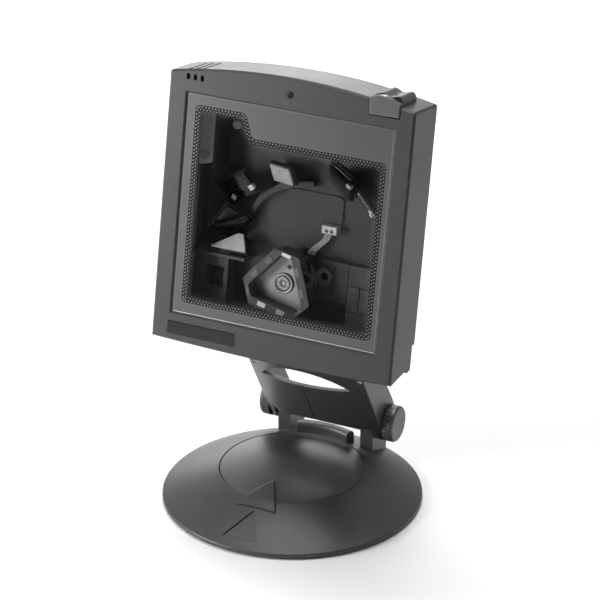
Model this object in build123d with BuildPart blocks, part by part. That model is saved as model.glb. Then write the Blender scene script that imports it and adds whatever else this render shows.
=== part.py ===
from build123d import *
import math
import os

os.makedirs("parts", exist_ok=True)

# ---------------------------------------------------------------- dimensions
# world frame: table at z = 0, stand axis on Z, scan window facing -Y
BASE_R = 76.2
BASE_LIFT = 1.2
RIM_TOP_Z = 3.0
BASE_FLOOR_T = 1.5
COVER_R = 42.6
COVER_SEAT_Z = 15.8
COVER_EDGE_Z = 18.1
COVER_TOP_Z = 22.3
WEIGHT_R = 56.0
WEIGHT_T = 5.3
POST_RING_R = 64.0
FOOT_R = 6.0

# tilt pivot between the stand uprights and the yoke arms
PIVOT_Y = 55.0
PIVOT_Z = 29.5
UPRIGHT_IN_X = 23.0
UPRIGHT_OUT_X = 31.0
UPRIGHT_R = 10.0
ARM_IN_X = 31.5
ARM_OUT_X = 37.0
BOSS_R = 11.0
BUSH_R = 5.0
STUD_R = 2.5
RUN_GAP = 0.05
KNOB_R = 11.0
KNOB_IN_X = 37.3
KNOB_OUT_X = 43.6

# yoke: a curved front plate with two side arms
YOKE_FRONT_Y = 31.9
YOKE_FRONT_Z = 34.1
YOKE_SLANT = 31.0
YOKE_CURVE_R = 88.0
YOKE_WALL = 3.0
YOKE_TOP_Z = 99.4
FLANGE_T = 3.0
CLAMP_X = 34.2
CLAMP_RISE = 41.0
FLANGE_SCREW_X = 20.0
FLANGE_SCREW_Y = 11.0
FLANGE_SCREW_GAP = 7.0

# head: leans back about the bottom edge of its front face
LEAN = 11.0
HEAD_Y = -30.8
HEAD_Z = 102.1
HEAD_W = 150.0
CORNER_H = 155.8
APEX_H = 163.2
BOW = 1.8
FRONT_D = 23.5
SEAM = 0.6
STRIP_D = 32.6
LOWER_STRIP_D = 28.4
STEP_H = 17.3
HEAD_D = 48.0
WALL = 2.5
FACE_T = 3.4

# scan window
WIN_HALF = 63.3
WIN_LOW = 16.5
WIN_HIGH = 144.4
BEVEL = 1.2
GLASS_T = 2.0
MASK_T = 0.2
GASKET_T = 1.0

# features of the face, in head coordinates: X across, U up the face, depth to the rear
SOUND_SLOT_X = (-63.4, -59.0, -54.6)
SENSOR_U = 153.7
BADGE_X = -43.6
BADGE_U = 7.3
BADGE_W = 42.5
BADGE_H = 7.3
BUTTON_X = 56.7
BUTTON_D = 13.0
JACK_X = 44.2
JACK_D = 40.2
BOSS_SPOTS = ((-68.6, 8.5), (68.6, 8.5), (-68.6, 138), (68.6, 138))

# optics, in head coordinates
CHASSIS_HALF = 61.5
CHASSIS_LOW = 16.5
CHASSIS_HIGH = 145.4
CHASSIS_FRONT = 4.5
CHASSIS_BACK = 30.0
CHASSIS_WALL = 2.0
CHASSIS_FLOOR = 28.5
WHEEL_X = -2.0
WHEEL_U = 41.5
WHEEL_FRONT = 8.0
WHEEL_BACK = 20.0
FACET_APOTHEM = 17.0
CORNER_APOTHEM = 20.4
FACET_PHASE = 18.0
FACET_T = 2.0
WHEEL_LIP = 1.0
WHEEL_INNER = 12.0
WHEEL_INNER_CORNER = 18.0
CUP_R = 16.5
CUP_WALL = 1.2
CUP_D = 5.8
HUB_R = 4.0
SHAFT_R = 1.5
MOTOR_FRONT = 26.4
MIRROR_T = 1.6
BRACKET_T = 2.0
BRACKET_POST_R = 2.0
PLUG_X = 20.4
PLUG_U = 73.1
WIRE_R = 0.32
LASER_X = 19.8
LASER_U = 48.2
CHASSIS_SCREW_X = 44.2
CHASSIS_SCREW_U = 124.5
BOARD_FRONT = CHASSIS_BACK + 4.0
BOARD_T = 1.6
BOARD_U = 82.0
BOARD_HOLES_X = 80.0
BOARD_HOLES_U = 90.0

UP = Vector(0, math.sin(math.radians(LEAN)), math.cos(math.radians(LEAN)))
REAR = Vector(0, math.cos(math.radians(LEAN)), -math.sin(math.radians(LEAN)))


# ------------------------------------------------------------------- helpers
def head_point(x, u, depth):
    return Vector(x, HEAD_Y, HEAD_Z) + UP * u + REAR * depth


def face_plane(depth, x=0, u=0):
    """Parallel to the front face; a negative extrusion goes to the rear."""
    return Plane(origin=head_point(x, u, depth), x_dir=(1, 0, 0), z_dir=REAR * -1)


def side_plane(x):
    """Local x runs to the rear, local y up the face, normal along +X."""
    return Plane(origin=head_point(x, 0, 0), x_dir=REAR, z_dir=(1, 0, 0))


def top_plane(u):
    """Local x runs along X, local y to the rear, normal up the face."""
    return Plane(origin=head_point(0, u, 0), x_dir=(1, 0, 0), z_dir=UP)


def save(builder, name):
    builder.part.label = name
    export_step(builder.part, f"parts/{name}.step")


def head_outline(inset):
    half = HEAD_W / 2 - inset
    with BuildSketch() as outline:
        with BuildLine():
            Polyline(
                (-half, CORNER_H - inset), (-half, -7), (half, -7), (half, CORNER_H - inset)
            )
            ThreePointArc(
                (half, CORNER_H - inset), (0, APEX_H - inset), (-half, CORNER_H - inset)
            )
        make_face()
        fillet(outline.vertices().group_by(Axis.Y)[-1], 1.5)
    return outline.sketch


def top_height(x):
    """Height of the arched top edge above the bottom of the face."""
    return APEX_H - (APEX_H - CORNER_H) * (2 * x / HEAD_W) ** 2


def underside(lift, bow):
    """Everything below the slightly bowed, level underside of the head."""
    z = HEAD_Z + lift
    with BuildSketch() as region:
        with BuildLine():
            ThreePointArc((-80, z), (0, z - bow), (80, z))
            Polyline((80, z), (80, z - 30), (-80, z - 30), (-80, z))
        make_face()
    return region.sketch


def box_between(x0, x1, u0, u1, d0, d1):
    """A block square to the head, for use as a stand-alone solid."""
    with BuildPart() as block:
        with BuildSketch(face_plane(d0, (x0 + x1) / 2, (u0 + u1) / 2)):
            Rectangle(x1 - x0, u1 - u0)
        extrude(amount=-(d1 - d0))
    return block.part


def cross_screw(head_r, head_t, shank_r, shank_l):
    """Pan-head screw with a cross recess, head on top, shank down -Z."""
    with BuildPart() as screw:
        Cylinder(head_r, head_t, align=(Align.CENTER, Align.CENTER, Align.MIN))
        chamfer(screw.edges().group_by(Axis.Z)[-1], head_t * 0.3)
        with Locations((0, 0, 0)):
            Cylinder(shank_r, shank_l, align=(Align.CENTER, Align.CENTER, Align.MAX))
        with BuildSketch(Plane.XY.offset(head_t)):
            Rectangle(head_r * 1.2, head_r * 0.3)
            Rectangle(head_r * 0.3, head_r * 1.2)
        extrude(amount=-head_t * 0.55, mode=Mode.SUBTRACT)
    return screw.part


# --------------------------------------------------------------------- stand
with BuildPart() as dome:
    with BuildSketch(Plane.XZ):
        with BuildLine():
            Polyline((0, 13.2), (0, COVER_SEAT_Z), (COVER_R + 0.3, COVER_SEAT_Z))
            Polyline((COVER_R + 0.3, COVER_SEAT_Z), (COVER_R + 0.3, COVER_EDGE_Z))
            ThreePointArc((COVER_R + 0.3, COVER_EDGE_Z), (60.5, 10.9), (BASE_R - 0.6, RIM_TOP_Z + 0.4))
            Polyline(
                (BASE_R - 0.6, RIM_TOP_Z + 0.4),
                (BASE_R, RIM_TOP_Z - 0.3),
                (BASE_R, BASE_LIFT),
                (73.6, BASE_LIFT),
                (73.6, BASE_LIFT + BASE_FLOOR_T),
                (70.5, BASE_LIFT + BASE_FLOOR_T),
                (44.0, 14.2),
                (42.0, 13.2),
                (0, 13.2),
            )
        make_face()
    revolve(axis=Axis.Z)

with BuildPart() as base_shell:
    add(dome.part)
    # curved stop ridge behind the cover, concentric with the base
    with BuildSketch(Plane.XZ.rotated((0, 0, 112))) as ridge_section:
        with Locations((46.4, 18.6)):
            Rectangle(6.2, 11.8)
        fillet(ridge_section.vertices().group_by(Axis.Y)[-1], 2.8)
    revolve(axis=Axis.Z, revolution_arc=-44)
    # two uprights with rounded tops that carry the tilt pivot
    with BuildSketch(Plane.YZ.offset(UPRIGHT_IN_X)) as upright_side:
        with BuildLine():
            Polyline((45, PIVOT_Z), (45, 12), (65, 4.1), (65, PIVOT_Z))
            ThreePointArc((65, PIVOT_Z), (PIVOT_Y, PIVOT_Z + UPRIGHT_R), (45, PIVOT_Z))
        make_face()
    extrude(amount=UPRIGHT_OUT_X - UPRIGHT_IN_X)
    mirror(about=Plane.YZ)
    with BuildSketch(Plane.YZ.offset(-40)):
        with Locations((PIVOT_Y, PIVOT_Z)):
            Circle(BUSH_R - 0.6)
    extrude(amount=80, mode=Mode.SUBTRACT)
    # notch that receives the pointer of the cover disc
    with BuildSketch(Plane.XY.offset(15.0)):
        Polygon((0, -24.0), (13.0, -49.1), (-13.0, -49.1), align=None)
    extrude(amount=6, mode=Mode.SUBTRACT)
    # engraved triangle lower down the slope, pointing the same way
    slope = Plane(origin=(0, -60.5, 10.9), x_dir=(1, 0, 0), z_dir=(0, -0.431, 0.902))
    with BuildSketch(slope.offset(2)):
        Polygon((0, 10.4), (10.9, -10.4), (-10.9, -10.4), align=None)
    extrude(amount=-3.0, mode=Mode.SUBTRACT)
    # screw posts for the floor plate and pegs that hold the weight down
    with BuildSketch(Plane.XY.offset(BASE_LIFT + BASE_FLOOR_T)):
        with PolarLocations(POST_RING_R, 4, start_angle=45):
            Circle(3.4)
    extrude(amount=5.0)
    with BuildSketch(Plane.XY.offset(BASE_LIFT + BASE_FLOOR_T + WEIGHT_T)):
        with PolarLocations(30, 4, start_angle=45):
            Circle(3.0)
    extrude(amount=6.0)
    with BuildSketch(Plane.XY.offset(BASE_LIFT + BASE_FLOOR_T)):
        with PolarLocations(POST_RING_R, 4, start_angle=45):
            Circle(1.25)
    extrude(amount=3.6, mode=Mode.SUBTRACT)
save(base_shell, "base_shell")


def cap_midpoint(edge_r, edge_z, top_z):
    """Point half way out on a spherical cap centred on the stand axis."""
    rise = top_z - edge_z
    radius = (edge_r**2 + rise**2) / (2 * rise)
    r = edge_r / 2
    return (r, top_z - radius + math.sqrt(radius**2 - r**2))


with BuildPart() as base_cover_disc:
    with BuildSketch(Plane.XZ):
        with BuildLine():
            shoulder = (COVER_R - 0.5, COVER_EDGE_Z + 0.1)
            ThreePointArc((0, COVER_TOP_Z), cap_midpoint(*shoulder, COVER_TOP_Z), shoulder)
            Polyline(
                shoulder,
                (COVER_R, COVER_EDGE_Z - 0.4),
                (COVER_R, COVER_SEAT_Z),
                (40.4, COVER_SEAT_Z),
            )
            ThreePointArc((40.4, COVER_SEAT_Z), cap_midpoint(40.4, COVER_SEAT_Z, 20.2), (0, 20.2))
            Line((0, 20.2), (0, COVER_TOP_Z))
        make_face()
    revolve(axis=Axis.Z)

with BuildPart() as pointer_blank:
    with BuildSketch(Plane.XZ):
        with BuildLine():
            ThreePointArc((0, 23.3), cap_midpoint(43, 19.0, 23.3), (43, 19.0))
            Polyline((43, 19.0), (50, 16.3), (50, 15.1), (43.6, 15.1), (41.0, 16.6))
            ThreePointArc((41.0, 16.6), cap_midpoint(41.0, 16.6, 21.2), (0, 21.2))
            Line((0, 21.2), (0, 23.3))
        make_face()
    revolve(axis=Axis.Z)
    with BuildSketch(Plane.XY):
        Polygon((0, -25.0), (12.2, -48.6), (-12.2, -48.6), align=None)
    extrude(amount=40, mode=Mode.INTERSECT)

with BuildPart() as base_cover:
    add(base_cover_disc.part)
    add(pointer_blank.part)
save(base_cover, "base_cover_disc")

with BuildPart() as base_weight:
    with Locations((0, 0, BASE_LIFT + BASE_FLOOR_T)):
        Cylinder(WEIGHT_R, WEIGHT_T, align=(Align.CENTER, Align.CENTER, Align.MIN))
    chamfer(base_weight.edges().filter_by(GeomType.CIRCLE), 0.5)
save(base_weight, "base_weight")

with BuildPart() as base_floor_plate:
    with Locations((0, 0, BASE_LIFT)):
        Cylinder(73.4, BASE_FLOOR_T, align=(Align.CENTER, Align.CENTER, Align.MIN))
    with BuildSketch(Plane.XY.offset(BASE_LIFT)):
        with PolarLocations(POST_RING_R, 4, start_angle=45):
            Circle(2.8)
    extrude(amount=1.5, taper=42, mode=Mode.SUBTRACT)
    with BuildSketch(Plane.XY.offset(BASE_LIFT)):
        with PolarLocations(POST_RING_R, 4, start_angle=45):
            Circle(1.6)
    extrude(amount=1.5, mode=Mode.SUBTRACT)
save(base_floor_plate, "base_floor_plate")

with BuildPart() as base_screws:
    with BuildSketch(Plane.XY.offset(BASE_LIFT)):
        with PolarLocations(POST_RING_R, 4, start_angle=45):
            Circle(2.7)
    extrude(amount=1.4, taper=42)
    with BuildSketch(Plane.XY.offset(BASE_LIFT + 0.6)):
        with PolarLocations(POST_RING_R, 4, start_angle=45):
            Circle(1.25)
    extrude(amount=4.2)
    with BuildSketch(Plane.XY.offset(BASE_LIFT)):
        with PolarLocations(POST_RING_R, 4, start_angle=45):
            Rectangle(3.0, 0.7)
            Rectangle(0.7, 3.0)
    extrude(amount=0.7, mode=Mode.SUBTRACT)
save(base_screws, "base_screws")

with BuildPart() as rubber_feet:
    with BuildSketch(Plane.XY):
        with PolarLocations(POST_RING_R, 4):
            Circle(FOOT_R)
    extrude(amount=BASE_LIFT)
    chamfer(rubber_feet.edges().group_by(Axis.Z)[0], 0.3)
save(rubber_feet, "rubber_feet")

# ---------------------------------------------------------------- tilt pivot
with BuildPart() as pivot_bushes:
    with BuildSketch(Plane.YZ.offset(UPRIGHT_IN_X)):
        with Locations((PIVOT_Y, PIVOT_Z)):
            Circle(BUSH_R - 0.6)
    extrude(amount=UPRIGHT_OUT_X - UPRIGHT_IN_X)
    with BuildSketch(Plane.YZ.offset(UPRIGHT_OUT_X)):
        with Locations((PIVOT_Y, PIVOT_Z)):
            Circle(BUSH_R)
    extrude(amount=ARM_OUT_X - UPRIGHT_OUT_X)
    with BuildSketch(Plane.YZ.offset(UPRIGHT_IN_X)):
        with Locations((PIVOT_Y, PIVOT_Z)):
            Circle(STUD_R)
    extrude(amount=ARM_OUT_X - UPRIGHT_IN_X, mode=Mode.SUBTRACT)
    mirror(about=Plane.YZ)
save(pivot_bushes, "pivot_bushes")

with BuildPart() as friction_washers:
    with BuildSketch(Plane.YZ.offset(UPRIGHT_OUT_X)):
        with Locations((PIVOT_Y, PIVOT_Z)):
            Circle(9.0)
            Circle(BUSH_R, mode=Mode.SUBTRACT)
    extrude(amount=ARM_IN_X - UPRIGHT_OUT_X - RUN_GAP)
    mirror(about=Plane.YZ)
save(friction_washers, "friction_washers")

for side, name in ((-1, "left"), (1, "right")):
    knob_plane = Plane(origin=(side * KNOB_IN_X, PIVOT_Y, PIVOT_Z), x_dir=(0, 1, 0), z_dir=(side, 0, 0))
    with BuildPart() as knob:
        with BuildSketch(knob_plane):
            Circle(KNOB_R)
        extrude(amount=KNOB_OUT_X - KNOB_IN_X)
        fillet(knob.edges().group_by(Axis.X)[-1 if side > 0 else 0], 1.8)
        # shallow finger flutes around the back half of the rim
        with BuildSketch(knob_plane):
            with PolarLocations(KNOB_R + 0.55, 24):
                Circle(0.9)
        extrude(amount=3.2, mode=Mode.SUBTRACT)
        with BuildSketch(knob_plane):
            Circle(STUD_R + 0.9)
        extrude(amount=3.6, mode=Mode.SUBTRACT)
    save(knob, name + "_knob")
    with BuildPart() as stud:
        with BuildSketch(knob_plane):
            Circle(STUD_R + 0.9)
        extrude(amount=3.6)
        with BuildSketch(knob_plane):
            Circle(STUD_R - RUN_GAP)
        extrude(amount=-12.5)
        chamfer(stud.edges().group_by(Axis.X)[0 if side > 0 else -1], 0.6)
    save(stud, name + "_knob_stud")

# ---------------------------------------------------------------------- yoke
slant_up = Vector(0, -math.sin(math.radians(YOKE_SLANT)), math.cos(math.radians(YOKE_SLANT)))
slant_back = Vector(0, math.cos(math.radians(YOKE_SLANT)), math.sin(math.radians(YOKE_SLANT)))
yoke_front = Vector(0, YOKE_FRONT_Y, YOKE_FRONT_Z)


def yoke_section_plane(rise):
    return Plane(origin=yoke_front + slant_up * rise, x_dir=(1, 0, 0), z_dir=slant_up)


def curve_sagitta(half, radius):
    return radius - math.sqrt(radius**2 - half**2)


def yoke_channel(half, back, inset):
    """Plan section of the yoke: curved front, straight sides."""
    radius = YOKE_CURVE_R - inset
    edge = curve_sagitta(half, radius) + inset
    with BuildSketch() as section:
        with BuildLine():
            ThreePointArc((-half, edge), (0, inset), (half, edge))
            Polyline((half, edge), (half, back), (-half, back), (-half, edge))
        make_face()
    return section.sketch


def clamp_plane(x):
    """Seat of a clamp screw on the curved front, normal to the slant."""
    centre = yoke_front + slant_up * CLAMP_RISE
    centre = centre + slant_back * curve_sagitta(abs(x), YOKE_CURVE_R) + Vector(x, 0, 0)
    return Plane(origin=centre, x_dir=(1, 0, 0), z_dir=slant_back * -1)


with BuildPart() as yoke:
    with BuildSketch(yoke_section_plane(-40)):
        add(yoke_channel(ARM_OUT_X, 90, 0))
        add(yoke_channel(ARM_IN_X, 90, YOKE_WALL), mode=Mode.SUBTRACT)
    extrude(amount=140)
    # side profile of the arms, rounding off at the pivot boss
    with BuildSketch(Plane.YZ.offset(-50)):
        with BuildLine():
            Polyline((-7.6, YOKE_TOP_Z), (YOKE_FRONT_Y, YOKE_FRONT_Z), (44.6, 26.0))
            ThreePointArc((44.6, 26.0), (PIVOT_Y + 2, PIVOT_Z - 10.8), (65.9, 31.0))
            Spline((65.9, 31.0), (60.5, 42), (50.5, 57), (40, 71), (26, 88), (19, YOKE_TOP_Z))
            Line((19, YOKE_TOP_Z), (-7.6, YOKE_TOP_Z))
        make_face()
    extrude(amount=100, mode=Mode.INTERSECT)
    # clear the uprights between the arms
    with BuildSketch(Plane.YZ.offset(-ARM_IN_X)):
        with Locations((PIVOT_Y, PIVOT_Z)):
            Circle(16.0)
    extrude(amount=2 * ARM_IN_X, mode=Mode.SUBTRACT)
    # flange under the head that closes the top of the channel
    with BuildSketch(Plane.XY.offset(YOKE_TOP_Z - FLANGE_T)):
        with BuildLine():
            ThreePointArc((-36.5, 4.5), (0, -5.0), (36.5, 4.5))
            Polyline((36.5, 4.5), (36.5, 18.5), (-36.5, 18.5), (-36.5, 4.5))
        make_face()
    extrude(amount=FLANGE_T)
    # lens-shaped opening through the front plate
    with BuildSketch(Plane.XZ.offset(-40)):
        with BuildLine():
            Line((-28.5, 65), (28.5, 65))
            ThreePointArc((28.5, 65), (0, 79), (-28.5, 65))
        make_face()
    extrude(amount=60, mode=Mode.SUBTRACT)
    # moulding groove down the middle of the plate
    with BuildSketch(yoke_section_plane(-2)):
        Rectangle(0.7, 1.0)
    extrude(amount=40, mode=Mode.SUBTRACT)
    # pivot bores and flange screw holes
    with BuildSketch(Plane.YZ.offset(-50)):
        with Locations((PIVOT_Y, PIVOT_Z)):
            Circle(BUSH_R + RUN_GAP)
    extrude(amount=100, mode=Mode.SUBTRACT)
    with BuildSketch(Plane.XY.offset(YOKE_TOP_Z - FLANGE_T)):
        with Locations((0, FLANGE_SCREW_Y)):
            with GridLocations(2 * FLANGE_SCREW_X, FLANGE_SCREW_GAP, 2, 2):
                Circle(1.6)
    extrude(amount=FLANGE_T, mode=Mode.SUBTRACT)
    # sunk seats for the clamp screws at the head of each arm
    for x in (-CLAMP_X, CLAMP_X):
        with BuildSketch(clamp_plane(x).offset(3)):
            Circle(2.1)
        extrude(amount=-4.2, mode=Mode.SUBTRACT)
        with BuildSketch(clamp_plane(x)):
            Circle(1.0)
        extrude(amount=-9.2, mode=Mode.SUBTRACT)
save(yoke, "yoke")

with BuildPart() as yoke_clamp_screws:
    for x in (-CLAMP_X, CLAMP_X):
        with Locations(clamp_plane(x).offset(-1.2).location):
            add(cross_screw(1.9, 1.2, 1.0, 8.0))
save(yoke_clamp_screws, "yoke_clamp_screws")

with BuildPart() as yoke_screws:
    for x in (-FLANGE_SCREW_X, FLANGE_SCREW_X):
        for y in (FLANGE_SCREW_Y - FLANGE_SCREW_GAP / 2, FLANGE_SCREW_Y + FLANGE_SCREW_GAP / 2):
            with Locations(Location((x, y, YOKE_TOP_Z - FLANGE_T), (180, 0, 0))):
                add(cross_screw(3.0, 2.0, 1.55, 9.0))
save(yoke_screws, "yoke_screws")

# ------------------------------------------------------------- front housing
with BuildPart() as front_cavity:
    with BuildSketch(face_plane(FACE_T)):
        add(head_outline(WALL))
    extrude(amount=-FRONT_D)
    with BuildSketch(Plane.XZ):
        add(underside(WALL, BOW))
    extrude(amount=80, both=True, mode=Mode.SUBTRACT)

with BuildPart() as front_housing:
    with BuildSketch(face_plane(0)):
        add(head_outline(0))
    extrude(amount=-FRONT_D)
    with BuildSketch(Plane.XZ):
        add(underside(0, BOW))
    extrude(amount=80, both=True, mode=Mode.SUBTRACT)
    chamfer(front_housing.faces().sort_by(Axis((0, 0, 0), tuple(REAR)))[0].edges(), 1.1)
    add(front_cavity.part, mode=Mode.SUBTRACT)
    # screw bosses, tied to the side walls
    with BuildSketch(face_plane(FACE_T)):
        with Locations(*BOSS_SPOTS):
            Circle(3.4)
            Rectangle(2.0, 9.0)
    extrude(amount=-(FRONT_D - FACE_T))
    with BuildSketch(face_plane(FRONT_D)):
        with Locations(*BOSS_SPOTS):
            Circle(1.2)
    extrude(amount=12, mode=Mode.SUBTRACT)
    # window opening with a bevelled frame
    with BuildSketch(face_plane(0, 0, (WIN_LOW + WIN_HIGH) / 2)):
        Rectangle(2 * WIN_HALF, WIN_HIGH - WIN_LOW)
    extrude(amount=-FACE_T, mode=Mode.SUBTRACT)
    with BuildSketch(face_plane(0, 0, (WIN_LOW + WIN_HIGH) / 2)):
        Rectangle(2 * (WIN_HALF + BEVEL), WIN_HIGH - WIN_LOW + 2 * BEVEL)
    extrude(amount=-BEVEL, taper=45, mode=Mode.SUBTRACT)
    # sound slots in the face and matching grooves over the top
    for x in SOUND_SLOT_X:
        with BuildSketch(face_plane(0, x, SENSOR_U + 0.1)):
            SlotOverall(3.5, 2.2, rotation=90)
        extrude(amount=-FACE_T, mode=Mode.SUBTRACT)
        with BuildSketch(face_plane(-1, x, top_height(x) + 0.2)):
            Rectangle(1.4, 1.8)
        extrude(amount=-40, mode=Mode.SUBTRACT)
    # seat of the presence sensor lens
    with BuildSketch(face_plane(0, 0, SENSOR_U)):
        Circle(2.0)
    extrude(amount=-FACE_T, mode=Mode.SUBTRACT)
    # shallow seat of the blank badge
    with BuildSketch(face_plane(0, BADGE_X, BADGE_U)):
        Rectangle(BADGE_W + 0.3, BADGE_H + 0.3)
    extrude(amount=-0.5, mode=Mode.SUBTRACT)
    # bay for the indicator lens and the function button
    with BuildSketch(face_plane(-1, BUTTON_X, 160)):
        Rectangle(19.0, 18.4)
    extrude(amount=-(FRONT_D - 0.3), mode=Mode.SUBTRACT)
save(front_housing, "front_housing")

# ---------------------------------------------------------------- rear cover
with BuildPart() as rear_cavity:
    with BuildSketch(face_plane(FRONT_D - 1)):
        add(head_outline(WALL + 0.3))
    extrude(amount=-(25.9 - FRONT_D + 1))
    with BuildSketch(face_plane(25.5)):
        add(head_outline(WALL + 0.3))
        with Locations((0, 5)):
            Rectangle(160, 30, mode=Mode.SUBTRACT)
    extrude(amount=-4.6)
    with BuildSketch(Plane.XZ):
        add(underside(WALL, BOW))
    extrude(amount=80, both=True, mode=Mode.SUBTRACT)
    with BuildSketch(face_plane(29, 0, 83)):
        RectangleRounded(118, 128, 6)
    with BuildSketch(face_plane(HEAD_D - WALL, 0, 82)):
        RectangleRounded(106, 112, 8)
    loft()

with BuildPart() as rear_cover:
    with BuildSketch(face_plane(FRONT_D + SEAM)):
        add(head_outline(0.3))
    extrude(amount=-(STRIP_D - FRONT_D - SEAM))
    chamfer(rear_cover.faces().sort_by(Axis((0, 0, 0), tuple(REAR)))[-1].edges(), 1.3)
    # the strip is thinner below the step
    with BuildSketch(face_plane(LOWER_STRIP_D)):
        with Locations((0, STEP_H - 20)):
            Rectangle(160, 40)
    extrude(amount=-10, mode=Mode.SUBTRACT)
    # rear bulge that makes room for the electronics
    with BuildSketch(face_plane(STRIP_D - 3, 0, 83)):
        RectangleRounded(128, 136, 8)
    with BuildSketch(face_plane(HEAD_D, 0, 82)):
        RectangleRounded(112, 118, 10)
    loft()
    # level pad under the bulge for the yoke
    with BuildSketch(Plane.XY.offset(YOKE_TOP_Z)):
        with Locations((0, 6.5)):
            RectangleRounded(76, 24, 3)
    extrude(amount=15)
    with BuildSketch(Plane.XY.offset(YOKE_TOP_Z)):
        Rectangle(200, 200)
    extrude(amount=-20, mode=Mode.SUBTRACT)
    with BuildSketch(face_plane(FRONT_D + SEAM)):
        with Locations((0, 80)):
            Rectangle(200, 300)
    extrude(amount=60, mode=Mode.SUBTRACT)
    add(rear_cavity.part, mode=Mode.SUBTRACT)
    # screw columns
    with BuildSketch(face_plane(FRONT_D + SEAM)):
        with Locations(*BOSS_SPOTS):
            Circle(3.8)
    extrude(amount=-3.2)
    with BuildSketch(face_plane(FRONT_D + SEAM)):
        with Locations(*BOSS_SPOTS[2:]):
            Circle(3.8)
    extrude(amount=-7.5)
    with BuildSketch(face_plane(FRONT_D)):
        with Locations(*BOSS_SPOTS):
            Circle(1.4)
    extrude(amount=-20, mode=Mode.SUBTRACT)
    with BuildSketch(face_plane(25.2)):
        with Locations(*BOSS_SPOTS):
            Circle(2.8)
    extrude(amount=-20, mode=Mode.SUBTRACT)
    # yoke screw pilots
    with BuildSketch(Plane.XY.offset(YOKE_TOP_Z)):
        with Locations((0, FLANGE_SCREW_Y)):
            with GridLocations(2 * FLANGE_SCREW_X, FLANGE_SCREW_GAP, 2, 2):
                Circle(1.55)
    extrude(amount=6.5, mode=Mode.SUBTRACT)
    # cable jack opening in the lower wall of the bulge
    with BuildSketch(top_plane(2)):
        with Locations((JACK_X, JACK_D)):
            Rectangle(11.8, 8.6)
    extrude(amount=28, mode=Mode.SUBTRACT)
    # cooling slots in the back
    with BuildSketch(face_plane(HEAD_D - WALL - 1, 0, 112)):
        with GridLocations(7, 0, 9, 1):
            SlotOverall(22, 2.2, rotation=90)
    extrude(amount=-5, mode=Mode.SUBTRACT)
save(rear_cover, "rear_cover")

with BuildPart() as housing_screws:
    for x, u in BOSS_SPOTS:
        seat = Plane(origin=head_point(x, u, 25.2), x_dir=(1, 0, 0), z_dir=REAR)
        with Locations(seat.location):
            add(cross_screw(2.6, 1.8, 1.2, 11.0))
save(housing_screws, "housing_screws")

# -------------------------------------------------------- window and face parts
def window_rect(margin):
    with BuildSketch() as area:
        with Locations((0, (WIN_LOW + WIN_HIGH) / 2)):
            Rectangle(2 * (WIN_HALF - margin), WIN_HIGH - WIN_LOW - 2 * margin)
    return area.sketch


with BuildPart() as scan_window:
    with BuildSketch(face_plane(BEVEL)):
        add(window_rect(0.15))
    extrude(amount=-GLASS_T)
    chamfer(scan_window.faces().sort_by(Axis((0, 0, 0), tuple(REAR)))[0].edges(), 0.25)
save(scan_window, "scan_window")

with BuildSketch() as clear_area:
    with BuildLine():
        Polyline(
            (-59, 22.7), (59.2, 22.7), (59.2, 124.4), (-22.7, 124.4),
            (-27.6, 138.0), (-59, 138.0), (-59, 22.7),
        )
    make_face()
    fillet(clear_area.vertices(), 3.0)

with BuildPart() as window_mask:
    with BuildSketch(face_plane(BEVEL + GLASS_T)):
        add(window_rect(0.15))
        add(clear_area.sketch, mode=Mode.SUBTRACT)
    extrude(amount=-MASK_T)
save(window_mask, "window_mask")

with BuildPart() as window_gasket:
    with BuildSketch(face_plane(FACE_T)):
        add(window_rect(-1.3))
        add(window_rect(2.6), mode=Mode.SUBTRACT)
    extrude(amount=-GASKET_T)
save(window_gasket, "window_gasket")

with BuildPart() as name_badge:
    with BuildSketch(face_plane(0.5, BADGE_X, BADGE_U)):
        RectangleRounded(BADGE_W, BADGE_H, 0.6)
    extrude(amount=0.75)
    chamfer(name_badge.faces().sort_by(Axis((0, 0, 0), tuple(REAR)))[0].edges(), 0.2)
save(name_badge, "name_badge")

with BuildPart() as sensor_lens:
    with BuildSketch(face_plane(0.2, 0, SENSOR_U)):
        Circle(1.95)
    extrude(amount=-3.6)
    chamfer(sensor_lens.faces().sort_by(Axis((0, 0, 0), tuple(REAR)))[0].edges(), 0.3)
save(sensor_lens, "sensor_lens")

with BuildPart() as presence_sensor:
    add(box_between(-4.5, 4.5, 150.2, 156.5, 3.9, 8.5))
save(presence_sensor, "presence_sensor")

with BuildPart() as indicator_lens:
    with BuildSketch(face_plane(-0.7)):
        with BuildLine():
            Polyline((47.6, 160.2), (47.6, 151.2), (65.7, 151.5), (65.7, 159.2))
            Spline((65.7, 159.2), (59.3, 161.4), (54.5, 162.5), (51.0, 161.8), (47.6, 160.2))
        make_face()
    extrude(amount=-4.2)
    chamfer(indicator_lens.faces().sort_by(Axis((0, 0, 0), tuple(REAR)))[0].edges(), 0.35)
save(indicator_lens, "indicator_lens")

with BuildPart() as function_button:
    with BuildSketch(face_plane(3.9)):
        with BuildLine():
            Polyline((47.6, 160.4), (47.6, 155.4), (65.8, 155.4), (65.8, 159.2))
            Spline((65.8, 159.2), (62.6, 162.5), (57.8, 161.5), (53.0, 163.2), (49.6, 162.0), (47.6, 160.4))
        make_face()
    extrude(amount=-18.2)
    with BuildSketch(top_plane(155.4)):
        with Locations((BUTTON_X, BUTTON_D)):
            Circle(2.0)
    extrude(amount=-3.5)
    # finger dimple between the two ridges
    with BuildSketch(top_plane(165)):
        with Locations((58.4, BUTTON_D - 2)):
            Circle(1.2)
    extrude(amount=-4.3, mode=Mode.SUBTRACT)
save(function_button, "function_button")

with BuildPart() as button_board:
    with BuildSketch(top_plane(CHASSIS_HIGH)):
        with Locations((BUTTON_X, BUTTON_D)):
            Rectangle(18.4, 14)
    extrude(amount=1.6)
save(button_board, "button_board")

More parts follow.
